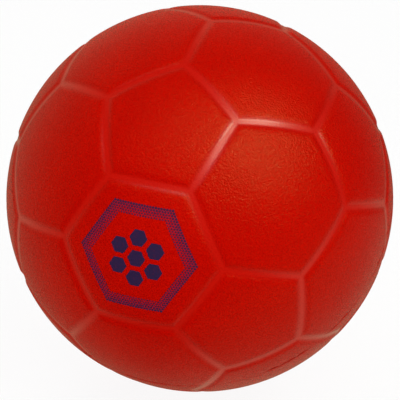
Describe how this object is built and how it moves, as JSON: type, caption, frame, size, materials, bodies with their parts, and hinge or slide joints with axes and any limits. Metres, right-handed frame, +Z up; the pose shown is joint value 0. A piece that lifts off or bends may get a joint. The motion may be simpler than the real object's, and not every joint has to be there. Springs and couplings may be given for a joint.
{
  "type": "handball",
  "caption": "Moulded rubber handball with domed five- and six-sided panels parted by soft grooves, a wound carcass, a bladder and a needle valve with a removable core.",
  "frame": {"origin": "centre of the ball", "axes": "+Y out of the valve along its axis, -Y through the middle of the show panel, +X along a twofold axis of the panel pattern, +Z up"},
  "size_m": [0.1614, 0.1618, 0.1618],
  "materials": {
    "cover": "satin moulded rubber, finely grained",
    "sponge": "matte cellular rubber",
    "thread": "latex-bound nylon thread",
    "butyl": "matte butyl rubber",
    "valve_rubber": "satin moulded rubber",
    "ink": "navy pad-printed ink on the cover's show panel"
  },
  "bodies": {
    "ball": {"cover_front_half": "cover", "cover_rear_half": "cover", "sponge_front_half": "sponge", "sponge_rear_half": "sponge", "thread_winding": "thread", "bladder": "butyl", "valve_patch": "butyl", "valve_sleeve": "valve_rubber"},
    "core": {"valve_core": "valve_rubber"}
  },
  "joints": [
    {"name": "valve_core_pull", "type": "slide", "parent": "ball", "child": "core", "axis": [0, 1, 0], "range_m": [0, 0.02]}
  ]
}
